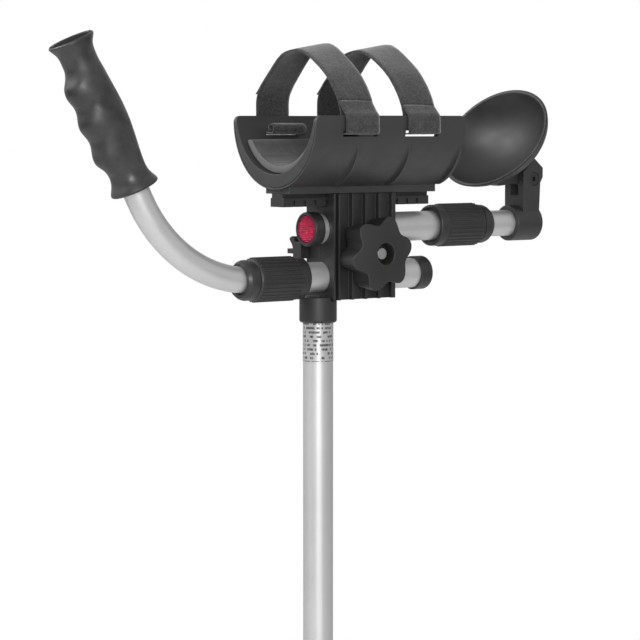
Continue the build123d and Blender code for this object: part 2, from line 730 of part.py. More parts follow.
def forearm_trough():
    """Half-pipe with strap slots, three gusset ribs and a flat base flange."""
    outer_z = RIM_Z - TROUGH_AXIS_DROP
    section = arc_face(
        TROUGH_RADIUS, outer_z, TROUGH_BORE, RIM_Z + TROUGH_BORE_RISE, TROUGH_FRONT
    )
    trough = extrude(section, TROUGH_REAR - TROUGH_FRONT, dir=(1, 0, 0))
    corners = trough.edges().filter_by(Axis.Y).group_by(Axis.Z)[-1]
    trough = fillet(corners, 5.0)
    trough += block(
        (TROUGH_FRONT + 3, -14, RIM_Z - RAIL_TOP), (TROUGH_REAR + 1, 14, RIM_Z - 46)
    )
    groove = rod_x(TROUGH_RADIUS - 0.9, TROUGH_FRONT - 1, TROUGH_FRONT + 0.7, 0, outer_z)
    groove -= rod_x(TROUGH_RADIUS - 1.7, TROUGH_FRONT - 2, TROUGH_FRONT + 2, 0, outer_z)
    trough -= groove & block((-100, -100, RIM_Z - 100), (100, 100, RIM_Z - 8))
    for x in (0.6, 48.0, TROUGH_REAR - 2.5):
        trough += gusset(x, 1)
        trough += gusset(x, -1)
    for middle in (TROUGH_MIDDLE - SLOT_OFFSET, TROUGH_MIDDLE + SLOT_OFFSET):
        for start, end, height in ((-70, 0, SLOT_HEIGHT), (0, 70, FAR_SLOT_HEIGHT)):
            trough -= block(
                (middle - SLOT_WIDTH / 2, start, RIM_Z - SLOT_DROP - height / 2),
                (middle + SLOT_WIDTH / 2, end, RIM_Z - SLOT_DROP + height / 2),
            )
    for hole in screw_places():
        trough -= rod_z(2.1, RIM_Z - 80, RIM_Z, *hole)
        trough -= rod_z(4.2, RIM_Z - 46, RIM_Z, *hole)
    return trough


def gusset(x, side):
    """Thin curved rib that fades into the wall at its top and meets the base flange."""
    thickness = 2.4
    top = RIM_Z - 20
    foot = RIM_Z - 50.5
    face = make_face(
        [
            ThreePointArc(
                (x, side * 47, top), (x, side * 37.4, RIM_Z - 39.8), (x, side * 20.5, foot)
            ),
            Line((x, side * 20.5, foot), (x, side * 13, foot)),
            Line((x, side * 13, foot), (x, side * 13, RIM_Z - 48)),
            ThreePointArc(
                (x, side * 13, RIM_Z - 48), (x, side * 34, RIM_Z - 36.5), (x, side * 47, top)
            ),
        ]
    )
    return extrude(face, thickness, dir=(1, 0, 0))


def screw_places():
    return [(TROUGH_MIDDLE + offset, 0.0) for offset in (-57, -19, 19, 57)]


def trough_rail():
    """Toothed T rail under the trough, which the clamp's two halves grip."""
    start = TROUGH_FRONT + 2.5
    end = TROUGH_REAR - 0.3
    rail = block((start, -RAIL_NECK, RIM_Z - RAIL_FOOT - 1), (end, RAIL_NECK, RIM_Z - RAIL_TOP))
    rail += block(
        (start, -RAIL_HALF_WIDTH, RIM_Z - RAIL_BOTTOM),
        (end, RAIL_HALF_WIDTH, RIM_Z - RAIL_FOOT),
    )
    notch = start + RAIL_PITCH
    while notch < end - 4:
        for side in (-1, 1):
            middle = Pos(notch, side * RAIL_HALF_WIDTH, RIM_Z - RAIL_BOTTOM)
            rail -= middle * Box(2.4, 4.4, 9)
        notch += RAIL_PITCH
    for hole in screw_places():
        rail -= rod_z(1.75, RIM_Z - 80, RIM_Z, *hole)
    return rail


def rail_screws():
    """Four screws from the trough's floor down into the rail."""
    screws = []
    for hole in screw_places():
        screw = rod_z(1.75, RIM_Z - 63, RIM_Z - 46, *hole)
        screw += rod_z(4.0, RIM_Z - 46, RIM_Z - 43.6, *hole)
        screws.append(screw)
    return Compound(screws)


def forearm_pad():
    """Foam liner in the lower part of the trough."""
    thickness = 5.5
    centre = RIM_Z + TROUGH_BORE_RISE
    outer = TROUGH_BORE - 0.15
    section = Plane(origin=(TROUGH_FRONT + 5, 0, 0), x_dir=(0, 1, 0), z_dir=(1, 0, 0))
    ring = Pos(0, centre) * (Circle(outer) - Circle(outer - thickness))
    ring &= Pos(0, RIM_Z - PAD_DROP - 50) * Rectangle(200, 100)
    pad = extrude(section * ring, TROUGH_REAR - TROUGH_FRONT - 9, dir=(1, 0, 0))
    return pad


def ribbon(path, thickness):
    """Closed outline, in (y, z), of a band of constant thickness along a path with mild turns."""
    left = []
    right = []
    count = len(path)
    for index, (y, z) in enumerate(path):
        before = Vector(*path[max(index - 1, 0)])
        here = Vector(y, z)
        after = Vector(*path[min(index + 1, count - 1)])
        into = (here - before).normalized() if index else (after - here).normalized()
        out = (after - here).normalized() if index < count - 1 else into
        along = (into + out).normalized()
        reach = thickness / 2 / max(along.dot(into), 0.5)
        left.append((y - along.Y * reach, z + along.X * reach))
        right.append((y + along.Y * reach, z - along.X * reach))
    return left + right[::-1]


# Where the strap runs: (y, height above the rim), from its rod inside the inner wall, out through
# the inner wall's slot, over the forearm and down inside the outer wall.
STRAP_PATH = [
    (STRAP_ROD_Y, -12.8),
    (51.8, -12.8),
    (55.6, -10.6),
    (57.0, -6.5),
    (57.2, 14.5),
    (41.5, 31.0),
    (22.5, 44.7),
    (8.5, 48.8),
    (-10.5, 42.8),
    (-27.0, 31.2),
    (-41.6, 12.5),
    (-45.2, 0.0),
    (-42.6, -9.6),
]
# Its end comes out through the outer wall's slot and folds up against the strap, rising along
# TAB_SLOPE (y per unit of height) above the path's last point.
TAB_PATH = [
    (-40.8, -12.8),
    (-49.4, -12.8),
    (-51.6, -11.0),
    (-52.1, -8.0),
    (-51.7, -1.0),
    (-49.8, 2.5),
]
TAB_SLOPE = 0.6


def lifted(path):
    return [(y, RIM_Z + z) for y, z in path]


def strap(middle):
    start = middle - STRAP_WIDTH / 2
    end = middle + STRAP_WIDTH / 2
    roll_z = RIM_Z - 12.8 + STRAP_ROD_RADIUS + STRAP_THICKNESS / 2
    band = prism_x(ribbon(lifted(STRAP_PATH), STRAP_THICKNESS), start, end)
    band += rod_x(STRAP_ROD_RADIUS + STRAP_THICKNESS, start, end, STRAP_ROD_Y, roll_z)
    return band - rod_x(STRAP_ROD_RADIUS, start - 1, end + 1, STRAP_ROD_Y, roll_z)


def strap_tab(middle, end_height):
    start = middle - STRAP_WIDTH / 2
    last_y, last_height = TAB_PATH[-1]
    end = (last_y + TAB_SLOPE * (end_height - last_height), end_height)
    path = lifted(TAB_PATH + [end])
    return prism_x(ribbon(path, STRAP_THICKNESS), start, start + STRAP_WIDTH)


def strap_rod(middle):
    z = RIM_Z - 12.8 + STRAP_ROD_RADIUS + STRAP_THICKNESS / 2
    start = middle - STRAP_WIDTH / 2 + 2
    return rod_x(STRAP_ROD_RADIUS, start, start + STRAP_WIDTH - 4, STRAP_ROD_Y, z)


FRONT_STRAP_X = TROUGH_MIDDLE - SLOT_OFFSET
REAR_STRAP_X = TROUGH_MIDDLE + SLOT_OFFSET

PARTS = {
    "upper_tube": upper_tube(),
    "upper_tube_bush": upper_tube_bush(),
    "lower_tube": lower_tube(),
    "snap_button": snap_button(),
    "button_spring": button_spring(),
    "ferrule": ferrule(),
    "ferrule_washer": ferrule_washer(),
    "label_sleeve": label_sleeve(),
    "clamp_outer_half": clamp_outer_half(),
    "clamp_inner_half": clamp_inner_half(),
    "clamp_bolt": clamp_bolt(),
    "clamp_washer": clamp_washer(),
    "clamp_knob": clamp_knob(),
    "knob_insert": knob_insert(),
    "collar_screw": collar_screw(),
    "side_clip": side_clip(),
    "front_outer_tube": front_outer_tube(),
    "front_tube_tail_cap": tail_cap(),
    "front_sleeve_nut": in_place(sleeve_nut(), -1, FRONT_SLEEVE_X, FRONT_TUBE_Z),
    "front_collet": in_place(collet(HANDLE_TUBE_RADIUS), -1, FRONT_SLEEVE_X, FRONT_TUBE_Z),
    "front_guide_bush": guide_bush(HANDLE_TUBE_RADIUS, -1, HANDLE_INNER_END, FRONT_TUBE_Z),
    "handle_tube": handle_tube(),
    "hand_grip": hand_grip(),
    "rear_outer_tube": rear_outer_tube(),
    "reflector_cap": reflector_cap(),
    "reflector_lens": reflector_lens(),
    "rear_sleeve_nut": in_place(sleeve_nut(), 1, REAR_SLEEVE_X, REAR_TUBE_Z),
    "rear_collet": in_place(collet(ELBOW_TUBE_RADIUS), 1, REAR_SLEEVE_X, REAR_TUBE_Z),
    "rear_guide_bush": guide_bush(ELBOW_TUBE_RADIUS, 1, 40, REAR_TUBE_Z),
    "elbow_tube": elbow_tube(),
    "elbow_bracket": elbow_bracket(),
    "cup_pivot_bolt": cup_pivot_bolt(),
    "cup_pivot_nut": cup_pivot_nut(),
    "elbow_cup_shell": elbow_cup_shell(),
    "elbow_cup_liner": elbow_cup_liner(),
    "forearm_trough": forearm_trough(),
    "trough_rail": trough_rail(),
    "rail_screws": rail_screws(),
    "forearm_pad": forearm_pad(),
    "front_strap": strap(FRONT_STRAP_X),
    "front_strap_tab": strap_tab(FRONT_STRAP_X, 10.5),
    "front_strap_rod": strap_rod(FRONT_STRAP_X),
    "rear_strap": strap(REAR_STRAP_X),
    "rear_strap_tab": strap_tab(REAR_STRAP_X, 7.5),
    "rear_strap_rod": strap_rod(REAR_STRAP_X),
}

os.makedirs("parts", exist_ok=True)
for name, shape in PARTS.items():
    export_step(shape, f"parts/{name}.step")
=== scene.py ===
import json
from math import acos, cos, exp, pi, radians, sin, sqrt

import bmesh
import bpy
from mathutils import Matrix, Vector, noise


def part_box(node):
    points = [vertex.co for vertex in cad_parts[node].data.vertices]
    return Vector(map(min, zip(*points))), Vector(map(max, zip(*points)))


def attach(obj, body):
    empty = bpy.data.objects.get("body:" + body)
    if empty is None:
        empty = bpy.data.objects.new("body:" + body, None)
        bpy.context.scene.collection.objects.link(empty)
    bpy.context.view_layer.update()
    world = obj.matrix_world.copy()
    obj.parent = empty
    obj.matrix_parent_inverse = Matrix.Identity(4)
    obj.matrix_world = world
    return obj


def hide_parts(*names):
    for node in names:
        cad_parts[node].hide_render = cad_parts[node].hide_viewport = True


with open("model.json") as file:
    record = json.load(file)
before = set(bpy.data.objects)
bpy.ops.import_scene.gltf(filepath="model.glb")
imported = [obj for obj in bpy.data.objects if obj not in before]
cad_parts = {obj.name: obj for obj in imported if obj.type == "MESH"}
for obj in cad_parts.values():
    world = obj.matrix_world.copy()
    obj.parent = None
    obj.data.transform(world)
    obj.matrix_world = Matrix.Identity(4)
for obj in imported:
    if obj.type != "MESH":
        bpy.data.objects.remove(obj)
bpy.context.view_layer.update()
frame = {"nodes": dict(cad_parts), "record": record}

MM = 0.001
RIM_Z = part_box("forearm_trough")[1].z


def above_rim(y, height, x=0.0):
    """A point from millimetres across the trough and above its rim."""
    return Vector((x * MM, y * MM, RIM_Z + height * MM))


# Camera.


def make_camera():
    """The view in which the upright, trough, grip and cup fall where the photograph has them."""
    azimuth = radians(37.4)
    pitch = radians(4.5)
    place = Vector((-1.1014, -1.4429, 1.0045))
    camera = bpy.data.objects.new("camera", bpy.data.cameras.new("camera"))
    camera.data.sensor_width = 36.0
    camera.data.lens = 140.6
    camera.location = place
    camera.rotation_euler = (pi / 2 - pitch, 0, -azimuth)
    bpy.context.scene.collection.objects.link(camera)
    bpy.context.scene.camera = camera


make_camera()


# Materials. Every pattern is made in the object's own coordinates, in metres.

# Noise from 0 to 1 stays mostly between these two values.
NOISE_SPAN = (0.3, 0.7)


def scaled(colour, factor, lift=0.0):
    return tuple(channel * factor + lift for channel in colour)


class Surface:
    """A principled material that is put together node by node."""

    def __init__(self, name, colour, roughness, metallic=0.0, specular=0.5):
        self.material = bpy.data.materials.new(name)
        self.material.use_nodes = True
        self.tree = self.material.node_tree
        self.shader = self.tree.nodes["Principled BSDF"]
        self.colour = colour
        self.roughness = roughness
        self.set("Base Color", (*colour, 1))
        self.set("Roughness", roughness)
        self.set("Metallic", metallic)
        self.set("Specular IOR Level", specular)
        self.place = self.add("ShaderNodeTexCoord").outputs["Object"]
        self.normal = None

    def add(self, kind, **settings):
        node = self.tree.nodes.new(kind)
        for key, value in settings.items():
            setattr(node, key, value)
        return node

    def set(self, socket, value):
        self.shader.inputs[socket].default_value = value

    def link(self, output, node_input):
        self.tree.links.new(output, node_input)

    def math(self, operation, first, second=0.0):
        node = self.add("ShaderNodeMath", operation=operation)
        for slot, value in zip(node.inputs, (first, second)):
            if isinstance(value, (int, float)):
                slot.default_value = value
            else:
                self.link(value, slot)
        return node.outputs[0]

    def noise(self, scale, detail=2.0, stretch=(1, 1, 1)):
        """Cloudy noise from 0 to 1, with its features stretched along an axis where stretch is small."""
        mapping = self.add("ShaderNodeMapping")
        mapping.inputs["Scale"].default_value = stretch
        self.link(self.place, mapping.inputs["Vector"])
        node = self.add("ShaderNodeTexNoise")
        node.inputs["Scale"].default_value = scale
        node.inputs["Detail"].default_value = detail
        self.link(mapping.outputs[0], node.inputs["Vector"])
        return node.outputs["Fac"]

    def cells(self, scale):
        """Outputs of a cell pattern: Distance from a cell's middle, and a Color drawn for each cell."""
        node = self.add("ShaderNodeTexVoronoi")
        node.inputs["Scale"].default_value = scale
        self.link(self.place, node.inputs["Vector"])
        return node.outputs

    def axes(self):
        """Outputs X, Y and Z of the object's own coordinates."""
        split = self.add("ShaderNodeSeparateXYZ")
        self.link(self.place, split.inputs[0])
        return split.outputs

    def remap(self, value, low, high, to_low, to_high):
        node = self.add("ShaderNodeMapRange")
        sockets = ("From Min", "From Max", "To Min", "To Max")
        for name, number in zip(sockets, (low, high, to_low, to_high)):
            node.inputs[name].default_value = number
        self.link(value, node.inputs["Value"])
        return node.outputs["Result"]

    def blend(self, mask, first, second):
        """Colour that goes from first to second as mask goes from 0 to 1."""
        node = self.add("ShaderNodeMix", data_type="RGBA")
        self.link(mask, node.inputs["Factor"])
        for slot, value in ((6, first), (7, second)):
            if isinstance(value, tuple):
                node.inputs[slot].default_value = (*value, 1)
            else:
                self.link(value, node.inputs[slot])
        return node.outputs[2]

    def paint(self, colour):
        self.link(colour, self.shader.inputs["Base Color"])

    def shades(self, mask, darker, lighter):
        """Base colour scaled between darker and lighter by a noise mask."""
        low = scaled(self.colour, darker)
        high = scaled(self.colour, lighter)
        return self.blend(self.remap(mask, *NOISE_SPAN, 0, 1), low, high)

    def vary_roughness(self, mask, spread):
        low, high = self.roughness - spread, self.roughness + spread
        self.link(self.remap(mask, *NOISE_SPAN, low, high), self.shader.inputs["Roughness"])

    def soften_edges(self, radius):
        """Rounds the shading of sharp edges, which also tells edge_mask where they are."""
        node = self.add("ShaderNodeBevel", samples=4)
        node.inputs["Radius"].default_value = radius
        self.normal = node.outputs["Normal"]

    def edge_mask(self):
        """Near 1 along sharp edges, 0 on flat parts. Needs soften_edges first."""
        flat = self.add("ShaderNodeNewGeometry").outputs["Normal"]
        dot = self.add("ShaderNodeVectorMath", operation="DOT_PRODUCT")
        self.link(self.normal, dot.inputs[0])
        self.link(flat, dot.inputs[1])
        return self.remap(dot.outputs["Value"], 0.80, 0.98, 1, 0)

    def bump(self, height, depth):
        """Relief of a depth in metres, on top of any softened edges and earlier relief."""
        node = self.add("ShaderNodeBump")
        node.inputs["Distance"].default_value = depth
        self.link(height, node.inputs["Height"])
        if self.normal is not None:
            self.link(self.normal, node.inputs["Normal"])
        self.normal = node.outputs["Normal"]
        self.link(self.normal, self.shader.inputs["Normal"])


def moulded(name, colour, roughness, grain=1500, depth=0.00005, edge_wear_and_highlight=1.5, edge=0.0006):
    """Moulded black plastic: spark-eroded grain, slight flow marks and paler edges, partly rubbed wear and
    partly painted highlight.
    """
    s = Surface(name, colour, roughness)
    s.soften_edges(edge)
    # The paler edge colour is rubbed wear and painted edge highlight; the larger the factor, the more of it
    # is painted highlight.
    edges = s.math("MULTIPLY", s.edge_mask(), s.noise(160, 3))
    flow = s.shades(s.noise(34, 3), 0.86, 1.16)
    s.paint(s.blend(edges, flow, scaled(colour, edge_wear_and_highlight, 0.012)))
    s.vary_roughness(s.noise(90, 4), 0.06)
    s.bump(s.noise(grain, 2), depth)
    return s.material


def metal(name, colour, roughness, stretch, depth=0.00001, metallic=1.0):
    """Drawn metal: fine lines along the stretched axis and faint clouding in the skin."""
    s = Surface(name, colour, roughness, metallic=metallic)
    s.soften_edges(0.0003)
    s.paint(s.shades(s.noise(28, 4), 0.96, 1.04))
    drawn = s.noise(420, 3, stretch)
    s.vary_roughness(drawn, 0.05)
    s.bump(drawn, depth)
    return s.material


def rubber(name, colour, roughness):
    """Soft rubber with a faint pebble, a dull bloom and pale blotches in its colour that are painted sheen.
    """
    s = Surface(name, colour, roughness)
    # Colour blotches from dark to pale: painted sheen patches, with some uneven tone.
    s.paint(s.shades(s.noise(75, 4), 0.6, 1.9))
    s.vary_roughness(s.noise(90, 4), 0.14)
    s.set("Sheen Weight", 0.08)
    s.set("Sheen Roughness", 0.4)
    s.bump(s.noise(45, 3), 0.00025)
    s.bump(s.noise(900, 2), 0.00004)
    return s.material


def dull_rubber(name, colour):
    """Dull rubber for the flat top of the grip."""
    s = Surface(name, colour, 0.95, specular=0.08)
    s.paint(s.shades(s.noise(120, 3), 0.85, 1.15))
    return s.material


def loop_pile(name, colour):
    """Brushed loop webbing: short matted fibres over a fine cross rib."""
    s = Surface(name, colour, 0.93, specular=0.2)
    fibres = s.noise(1500, 4)
    flecks = s.noise(620, 3)
    patches = s.noise(60, 4)
    mottled = s.math("ADD", s.math("MULTIPLY", fibres, 0.3), s.math("MULTIPLY", patches, 0.2))
    mottled = s.math("ADD", mottled, s.math("MULTIPLY", flecks, 0.5))
    mottled_span = (0.43, 0.57)
    # Mottled colour from painted shadow between the fibres to painted light on their tips, with some uneven
    # tone in the larger patches.
    shadow = scaled(colour, 0.62)
    lit_fibre_tips = scaled(colour, 1.45)
    s.paint(s.blend(s.remap(mottled, *mottled_span, 0, 1), shadow, lit_fibre_tips))
    s.set("Sheen Weight", 0.35)
    s.set("Sheen Roughness", 0.5)
    s.bump(s.noise(420, 3), 0.00022)
    s.bump(fibres, 0.00028)
    return s.material


def foam(name, colour):
    """Closed-cell foam: tiny pores, soft unevenness, and the cut face at the front end painted paler as
    painted light.
    """
    s = Surface(name, colour, 0.95, specular=0.2)
    pores = s.cells(1500)["Distance"]
    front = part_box("forearm_pad")[0].x
    # The front cut face is painted paler: painted light where it faces the lamps.
    cut = s.remap(s.axes()["X"], front + 0.5 * MM, front + 0.8 * MM, 1, 0)
    painted_lit_cut_face = scaled(colour, 1.9)
    s.paint(s.blend(cut, s.shades(s.noise(120, 4), 0.82, 1.2), painted_lit_cut_face))
    s.set("Sheen Weight", 0.15)
    s.bump(s.noise(60, 3), 0.0003)
    s.bump(pores, 0.00018)
    return s.material


def reflector(name, colour):
    """Red prism lens: each small facet is painted a slightly different red, as painted glints and shade."""
    s = Surface(name, colour, 0.30, specular=0.25)
    # The per-facet reds are painted light: darker facets as painted shade, paler ones as painted glints.
    facets = s.cells(620)
    split = s.add("ShaderNodeSeparateColor")
    s.link(facets["Color"], split.inputs[0])
    shaded_wine = (colour[0] * 0.4, colour[1], colour[2] * 0.9)
    glinting_red = (colour[0] * 1.4, colour[1] * 2.5, colour[2] * 1.2)
    s.paint(s.blend(split.outputs[0], shaded_wine, glinting_red))
    s.set("Coat Weight", 0.08)
    s.set("Coat Roughness", 0.2)
    s.bump(facets["Distance"], 0.0002)
    return s.material


def printed_foil(name, colour):
    """Silver foil with generic bars in rows, like lines of print too small to read."""
    row_pitch = 3.1 * MM
    inked_height = 0.55
    bars_per_radian = 9.0
    blank_share = 0.42
    ink = (0.035, 0.035, 0.037)
    s = Surface(name, colour, 0.38, metallic=0.55)
    place = s.axes()
    angle = s.math("ARCTAN2", place["Y"], place["X"])
    rows = s.math("MULTIPLY", place["Z"], 1 / row_pitch)
    row = s.math("FLOOR", rows)
    in_row = s.math("LESS_THAN", s.math("FRACT", rows), inked_height)
    column = s.math("FLOOR", s.math("MULTIPLY", angle, bars_per_radian))
    spot = s.add("ShaderNodeCombineXYZ")
    s.link(column, spot.inputs["X"])
    s.link(row, spot.inputs["Y"])
    chance = s.add("ShaderNodeTexWhiteNoise", noise_dimensions="2D")
    s.link(spot.outputs[0], chance.inputs["Vector"])
    inked = s.math("GREATER_THAN", chance.outputs["Value"], blank_share)
    mask = s.math("MULTIPLY", in_row, inked)
    faded = s.math("MULTIPLY", mask, s.remap(s.noise(700, 2), 0.3, 0.6, 0.45, 0.9))
    clouded = s.shades(s.noise(60, 3), 0.95, 1.05)
    s.paint(s.blend(faded, clouded, ink))
    s.vary_roughness(s.noise(300, 3), 0.05)
    s.bump(s.noise(500, 3), 0.00002)
    return s.material


# How the drawn lines are stretched: along the cross tubes, or along the upright.
ALONG_X = (0.02, 1, 1)
ALONG_Z = (1, 1, 0.02)
EVENLY = (1, 1, 1)
TUBE_COLOUR = (0.56, 0.56, 0.565)
BLACK = (0.020, 0.020, 0.0205)

MATERIALS = {
    "anodised_tube": metal("anodised_cross_tube", TUBE_COLOUR, 0.46, ALONG_X, metallic=0.7),
    "collar_plastic": moulded("collar_plastic", BLACK, 0.48),
    "clamp_plastic": moulded("clamp_plastic", (0.017, 0.017, 0.0175), 0.46, edge_wear_and_highlight=2.4, edge=0.0008),
    # The knob's edges are painted much paler: painted highlight along its lobes.
    "knob_plastic": moulded("knob_plastic", (0.015, 0.015, 0.0155), 0.5, grain=1100, edge_wear_and_highlight=4.0, edge=0.0012),
    "brass_insert": metal("brass_insert", (0.62, 0.46, 0.20), 0.35, EVENLY),
    "bolt_steel": metal("bolt_steel", (0.48, 0.48, 0.49), 0.3, EVENLY, depth=0.00002),
    "bolt_black": moulded("bolt_black", (0.016, 0.016, 0.016), 0.4),
    "label_foil": printed_foil("label_foil", (0.50, 0.50, 0.51)),
    "ferrule_rubber": rubber("ferrule_rubber", (0.022, 0.022, 0.022), 0.7),
    "grip_rubber": rubber("grip_rubber", (0.020, 0.020, 0.0205), 0.44),
    "cap_plastic": moulded("cap_plastic", (0.018, 0.018, 0.0185), 0.42),
    "reflector_red": reflector("reflector_red", (0.40, 0.003, 0.040)),
    "sleeve_plastic": moulded("sleeve_plastic", (0.019, 0.019, 0.0195), 0.44, edge_wear_and_highlight=2.2),
    "nose_plastic": moulded("nose_plastic", (0.020, 0.020, 0.0205), 0.42),
    "bush_plastic": moulded("bush_plastic", (0.62, 0.61, 0.57), 0.45, edge_wear_and_highlight=1.05),
    "bracket_plastic": moulded("bracket_plastic", (0.026, 0.026, 0.0265), 0.46, edge_wear_and_highlight=2.0),
    "cup_plastic": moulded("cup_plastic", (0.026, 0.026, 0.0265), 0.48, depth=0.00003),
    "cup_liner": moulded("cup_liner", (0.013, 0.013, 0.0135), 0.44, depth=0.00003),
    "trough_plastic": moulded(
        "trough_plastic", (0.030, 0.030, 0.0305), 0.50, grain=1200, edge_wear_and_highlight=2.0, edge=0.0009
    ),
    "rail_plastic": moulded("rail_plastic", (0.017, 0.017, 0.0175), 0.5),
    "pad_foam": foam("pad_foam", (0.060, 0.060, 0.062)),
    "strap_fabric": loop_pile("strap_fabric", (0.038, 0.038, 0.039)),
    "rod_plastic": moulded("rod_plastic", (0.018, 0.018, 0.018), 0.5),
}
GRIP_TOP = dull_rubber("grip_top", (0.012, 0.012, 0.012))
UPRIGHT_METAL = metal("anodised_upright", TUBE_COLOUR, 0.46, ALONG_Z, metallic=0.7)


def dress_cad_nodes():
    """Gives every CAD node its slot's material. The upright tubes have their lines along Z."""
    slot_of = {part["node"]: part["material_slot"] for part in frame["record"]["subparts"]}
    for name, piece in frame["nodes"].items():
        material = MATERIALS[slot_of[name]]
        if name in ("upper_tube", "lower_tube"):
            material = UPRIGHT_METAL
        for slot in piece.material_slots:
            slot.material = material
        if not piece.material_slots:
            piece.data.materials.append(material)


dress_cad_nodes()


# Mesh helpers.


def new_piece(name, points, faces, body, replaced, slot_name, smooth=True):
    """A piece in its slot's material that rides on a body and is shown in place of CAD nodes."""
    mesh = bpy.data.meshes.new(name)
    mesh.from_pydata([tuple(p) for p in points], [], faces)
    mesh.validate()
    shell = bmesh.new()
    shell.from_mesh(mesh)
    bmesh.ops.recalc_face_normals(shell, faces=shell.faces)
    shell.to_mesh(mesh)
    shell.free()
    if smooth:
        mesh.shade_smooth()
    mesh.materials.append(MATERIALS[slot_name])
    piece = bpy.data.objects.new(name, mesh)
    bpy.context.scene.collection.objects.link(piece)
    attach(piece, body)
    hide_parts(*replaced)
    return piece


def skin(rings):
    """Points and quads of a closed skin over a row of closed rings, with its two ends capped."""
    size = len(rings[0])
    points = [point for ring in rings for point in ring]
    faces = []
    for row in range(len(rings) - 1):
        for step in range(size):
            a = row * size + step
            b = row * size + (step + 1) % size
            faces.append((a, b, b + size, a + size))
    faces.append(tuple(range(size))[::-1])
    last = (len(rings) - 1) * size
    faces.append(tuple(range(last, last + size)))
    return points, faces


def joined(shells):
    """Points and faces of several shells as one."""
    points = []
    faces = []
    for shell_points, shell_faces in shells:
        first = len(points)
        points += shell_points
        faces += [tuple(first + corner for corner in face) for face in shell_faces]
    return points, faces


def smooth_path(knots, spacing):
    """Points about evenly spaced on a Catmull-Rom curve through the knots."""
    points = []
    count = len(knots)
    for index in range(count - 1):
        p0 = knots[max(index - 1, 0)]
        p1 = knots[index]
        p2 = knots[index + 1]
        p3 = knots[min(index + 2, count - 1)]
        steps = max(2, round((p2 - p1).length / spacing))
        for step in range(steps):
            t = step / steps
            points.append(
                0.5
                * (
                    2 * p1
                    + (p2 - p0) * t
                    + (2 * p0 - 5 * p1 + 4 * p2 - p3) * t**2
                    + (3 * p1 - p0 - 3 * p2 + p3) * t**3
                )
            )
    points.append(knots[-1])
    return points


# Hand grip. Only HANDLE_CORNER, where the bent tube's two straight runs would meet, is in metres.
# The other lengths are in millimetres, and heights along the grip are from its lower end.

HANDLE_CORNER = Vector((-0.1246, 0, RIM_Z - 0.117))
HANDLE_ANGLE = radians(65.9)
HANDLE_LEAN = radians(5.0)
GRIP_START = 72.8
GRIP_LENGTH = 112.4
GRIP_SIDE = Vector((0, cos(HANDLE_LEAN), -sin(HANDLE_LEAN)))
GRIP_UP = Vector(
    (
        -cos(HANDLE_ANGLE),
        sin(HANDLE_ANGLE) * sin(HANDLE_LEAN),
        sin(HANDLE_ANGLE) * cos(HANDLE_LEAN),
    )
)
GRIP_FRONT = GRIP_UP.cross(GRIP_SIDE)
NECK_RADIUS = 13.3
LOWER_FLARE, LOWER_FLARE_HEIGHT = 4.3, 7.0
UPPER_FLARE, UPPER_FLARE_HEIGHT = 4.2, 6.0
BELLY_MIDDLE = 52.0
BELLY_HALF_SPAN = 42.0
BELLY_SIDE = 1.7
BELLY_BACK = 3.1
KNUCKLE_START = 30.0
KNUCKLE_PITCH = 24.0
KNUCKLE_MEAN = 5.2
KNUCKLE_SWING = 1.5
GRIP_EDGE = 1.8
GRIP_STEP = 0.9
# The flat top: how far in from the flange each outline lies, and how far below its top.
GRIP_TOP_STEPS = ((3.0, 0.0), (3.6, 0.5), (4.4, 0.6), (9.0, 0.5), (13.0, 0.4), (15.5, 0.4))


def step_up(value, start, end):
    """Goes smoothly from 0 at start to 1 at end."""
    t = min(max((value - start) / (end - start), 0), 1)
    return t * t * (3 - 2 * t)


def grip_radii(along):
    """The grip's reach to its front, side and back, in millimetres, at a height along it."""
    flare = LOWER_FLARE * exp(-((along / LOWER_FLARE_HEIGHT) ** 2))
    flare += UPPER_FLARE * exp(-(((GRIP_LENGTH - along) / UPPER_FLARE_HEIGHT) ** 2))
    distance = min(abs(along - BELLY_MIDDLE), BELLY_HALF_SPAN)
    belly = cos(pi * distance / (2 * BELLY_HALF_SPAN)) ** 2
    # The knuckles fade in above the lower flange and out below the upper one.
    held = step_up(along, 14, 27) * (1 - step_up(along, 82, 94))
    turn = 2 * pi * (along - KNUCKLE_START) / KNUCKLE_PITCH
    knuckles = KNUCKLE_MEAN + KNUCKLE_SWING * cos(turn)
    thinner_top = 0.8 * step_up(along, 83, 96)
    base = NECK_RADIUS + flare - thinner_top
    return base + held * knuckles, base + BELLY_SIDE * belly, base + BELLY_BACK * belly


def grip_ring(along, inset=0.0):
    """The grip's outline at a height, drawn in by an inset."""
    count = 96
    front, side, back = grip_radii(min(max(along, 0), GRIP_LENGTH))
    centre = HANDLE_CORNER + GRIP_UP * ((GRIP_START + along) * MM)
    ring = []
    for step in range(count):
        angle = 2 * pi * step / count
        ahead = front if cos(angle) > 0 else back
        ahead -= inset
        across = side - inset
        radius = 1 / sqrt((cos(angle) / ahead) ** 2 + (sin(angle) / across) ** 2)
        offset = GRIP_FRONT * cos(angle) + GRIP_SIDE * sin(angle)
        ring.append(centre + offset * (radius * MM))
    return ring


